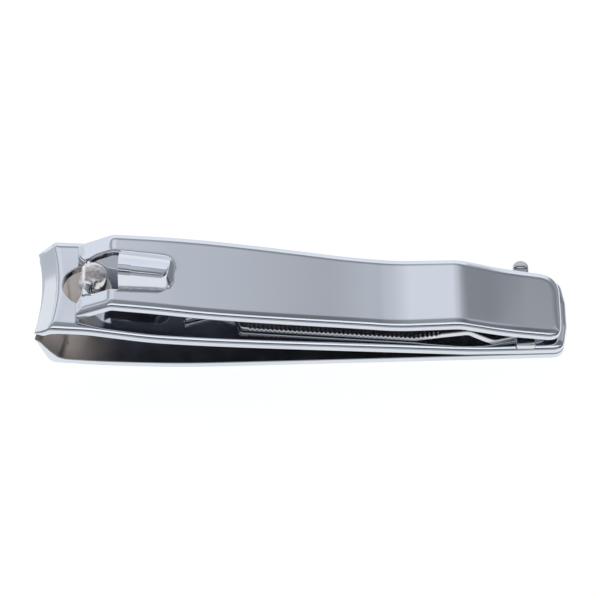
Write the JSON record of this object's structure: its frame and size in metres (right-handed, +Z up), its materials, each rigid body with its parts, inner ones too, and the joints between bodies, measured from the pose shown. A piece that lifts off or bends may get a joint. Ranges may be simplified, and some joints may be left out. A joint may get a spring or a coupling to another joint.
{
  "type": "nail clipper",
  "caption": "Lever nail clipper: two sprung steel jaws, a turning pin, a folding lever with a raised rib, and a swing-out nail file with a thumb tab.",
  "frame": {"origin": "on the flat underside of the lower jaw, at mid-length and mid-width of the jaws", "axes": "+X along the clipper from the cutting edges to the tail, +Y across it towards the long end of the thumb tab, +Z up through the jaws to the lever"},
  "size_m": [0.0797, 0.0173, 0.0169],
  "materials": {
    "jaw_chrome": "bright chrome plate over pressed steel strip",
    "lever_chrome": "bright chrome plate with a fine lengthwise polish",
    "pin_chrome": "chrome plate over a turned pin with a sheared end",
    "file_steel": "spring steel with cross-cut file teeth"
  },
  "bodies": {
    "base": {"lower_jaw": "jaw_chrome", "tail_rivet": "jaw_chrome"},
    "top": {"upper_jaw": "jaw_chrome"},
    "pin": {"pull_pin": "pin_chrome"},
    "arm": {"lever": "lever_chrome"},
    "file": {"file_blade": "file_steel", "file_arm": "file_steel"}
  },
  "joints": [
    {"name": "jaw_squeeze", "type": "hinge", "parent": "base", "child": "top", "pos_m": [0.0335, 0, 0.0014], "axis": [0, -1, 0], "range_deg": [0, 1.1], "stiffness_Nm_per_rad": 2, "springref_deg": -5.73},
    {"name": "pin_turn", "type": "hinge", "parent": "base", "child": "pin", "pos_m": [-0.03085, 0, 0.001], "axis": [0, 0, 1], "continuous": true},
    {"name": "lever_tilt", "type": "hinge", "parent": "pin", "child": "arm", "pos_m": [-0.0316, 0, 0.012], "axis": [0, -1, 0], "range_deg": [0, 145]},
    {"name": "file_swing", "type": "hinge", "parent": "top", "child": "file", "pos_m": [0.0335, 0, 0.003], "axis": [0, 0, -1], "range_deg": [0, 180], "deforming": ["file_arm"]}
  ]
}
